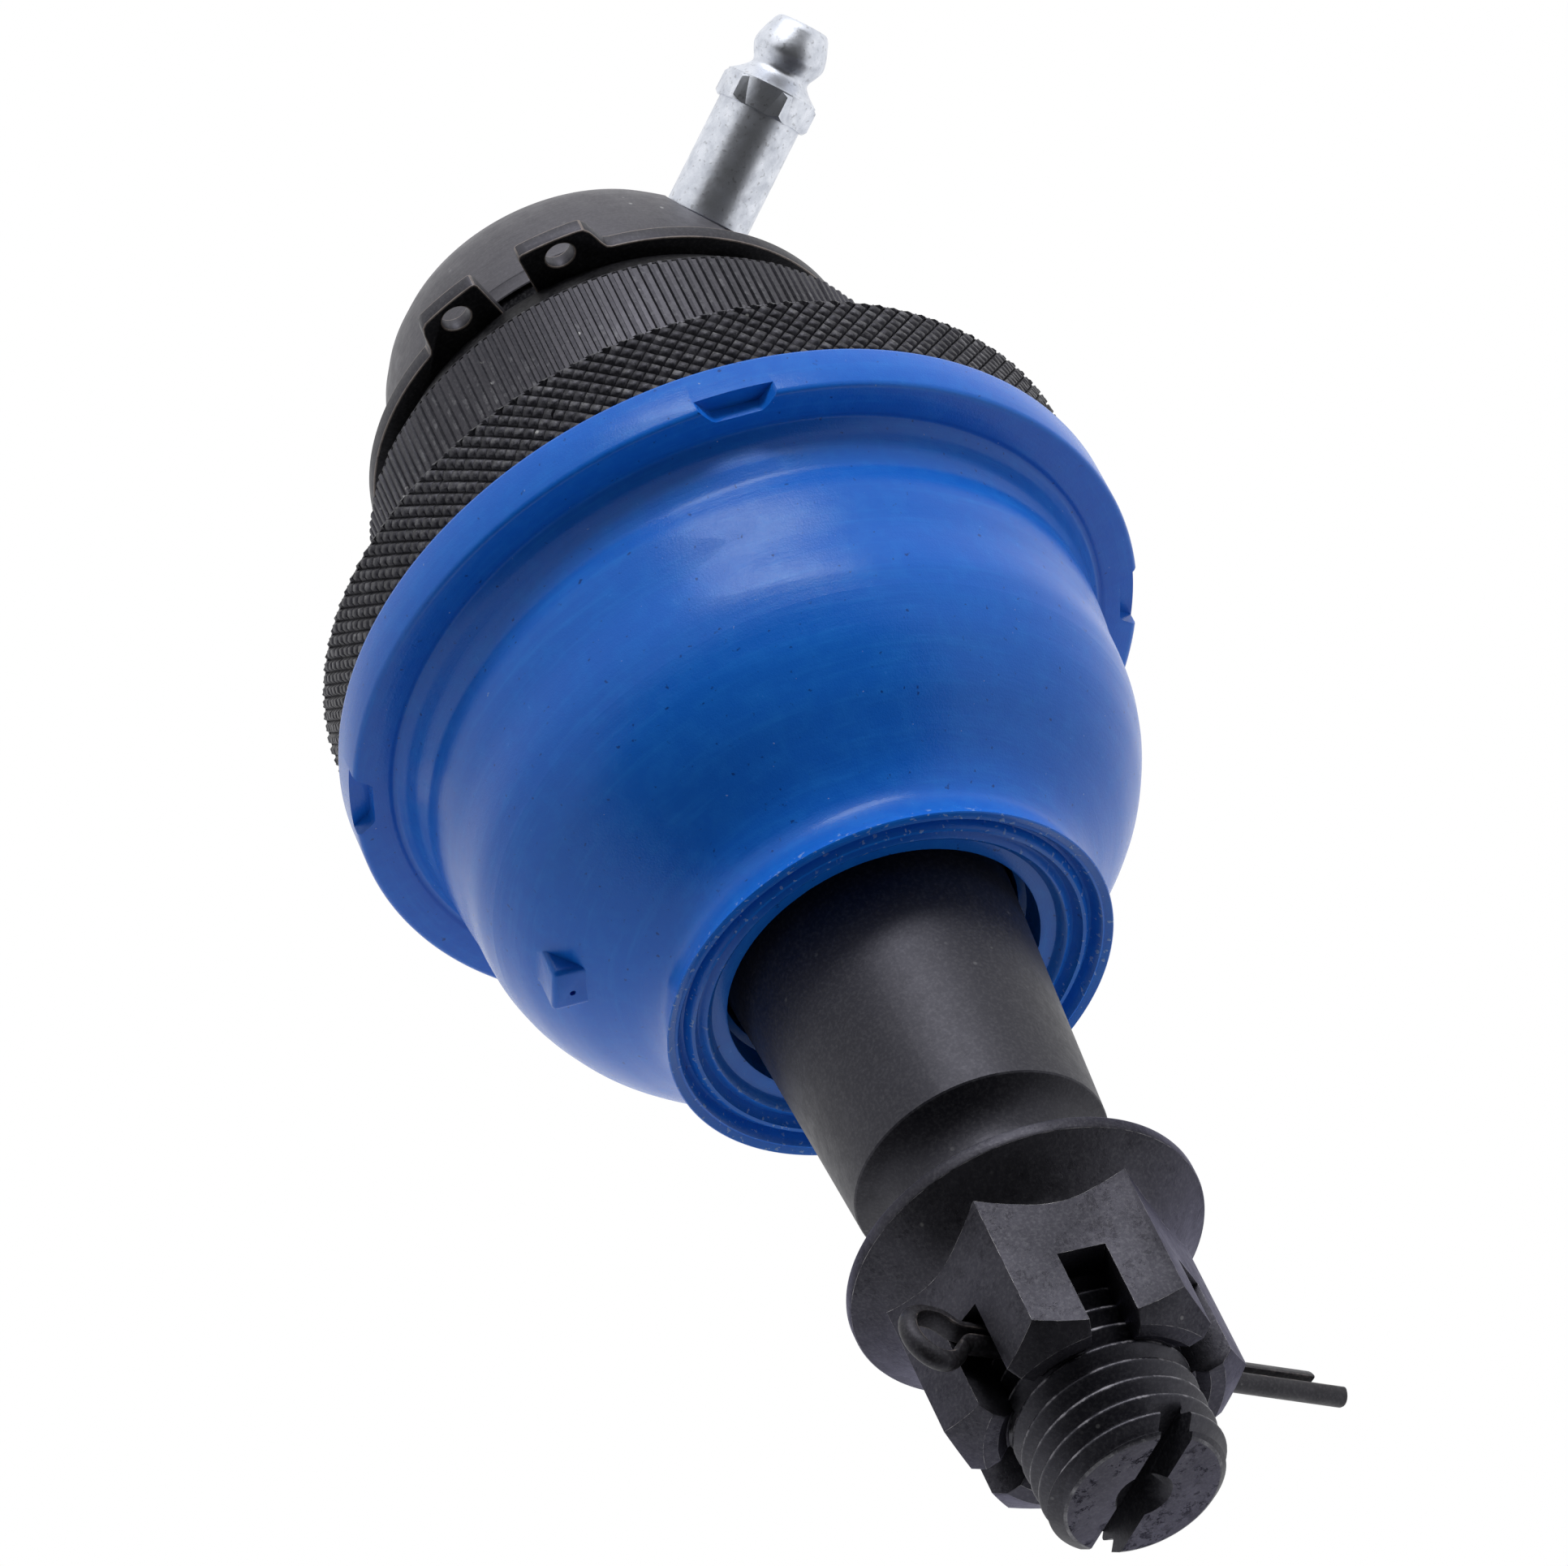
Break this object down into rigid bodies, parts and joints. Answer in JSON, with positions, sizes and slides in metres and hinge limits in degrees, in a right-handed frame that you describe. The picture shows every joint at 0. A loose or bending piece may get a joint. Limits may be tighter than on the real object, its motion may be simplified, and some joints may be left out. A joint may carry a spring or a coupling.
{
  "type": "suspension ball joint",
  "caption": "Press-in suspension ball joint with rubber boot, taper stud, slotted nut, split pin, snap ring and grease nipple.",
  "frame": {"origin": "centre of the ball, on the axis of the press band", "axes": "+Z along the stud toward its threaded end, +X and +Y across it"},
  "size_m": [0.0728, 0.0728, 0.1544],
  "materials": {
    "housing_steel": "black phosphate on forged steel, satin",
    "ring_steel": "black spring steel, edges worn bright",
    "nipple_zinc": "zinc plated, bright satin",
    "ball_steel": "plain bright steel",
    "bearing_metal": "sintered steel, oiled",
    "boot_rubber": "blue rubber, satin with fine specks",
    "insert_steel": "plain steel",
    "stud_steel": "black phosphate, satin",
    "nut_steel": "black phosphate, edges worn light",
    "pin_steel": "black oxide, satin"
  },
  "bodies": {
    "root": {"housing_body": "housing_steel", "snap_ring": "ring_steel", "grease_nipple": "nipple_zinc", "nipple_spring": "ball_steel", "upper_bearing": "bearing_metal", "lower_bearing": "bearing_metal", "preload_spring": "ring_steel", "closing_ring": "housing_steel", "boot_rim_ring": "insert_steel"},
    "check_ball": {"nipple_check_ball": "ball_steel"},
    "boot": {"boot": "boot_rubber"},
    "boot_lip": {"boot_lip_ring": "insert_steel"},
    "stud": {"ball_stud": "stud_steel", "castle_nut": "nut_steel", "cotter_pin": "pin_steel"}
  },
  "joints": [
    {"name": "stud_tilt_x", "type": "hinge", "parent": "root", "child": "boot", "pos_m": [0, 0, 0], "axis": [1, 0, 0], "range_deg": [-18, 18], "deforming": ["boot"]},
    {"name": "stud_tilt_y", "type": "hinge", "parent": "boot", "child": "boot_lip", "pos_m": [0, 0, 0], "axis": [0, 1, 0], "range_deg": [-18, 18], "deforming": ["boot"]},
    {"name": "stud_spin", "type": "hinge", "parent": "boot_lip", "child": "stud", "pos_m": [0, 0, 0], "axis": [0, 0, 1], "continuous": true},
    {"name": "check_ball_slide", "type": "slide", "parent": "root", "child": "check_ball", "axis": [0.7988, 0.3948, 0.454], "range_m": [0, 0.0007], "stiffness_N_per_m": 200, "springref_m": -0.001, "deforming": ["nipple_spring"]}
  ]
}
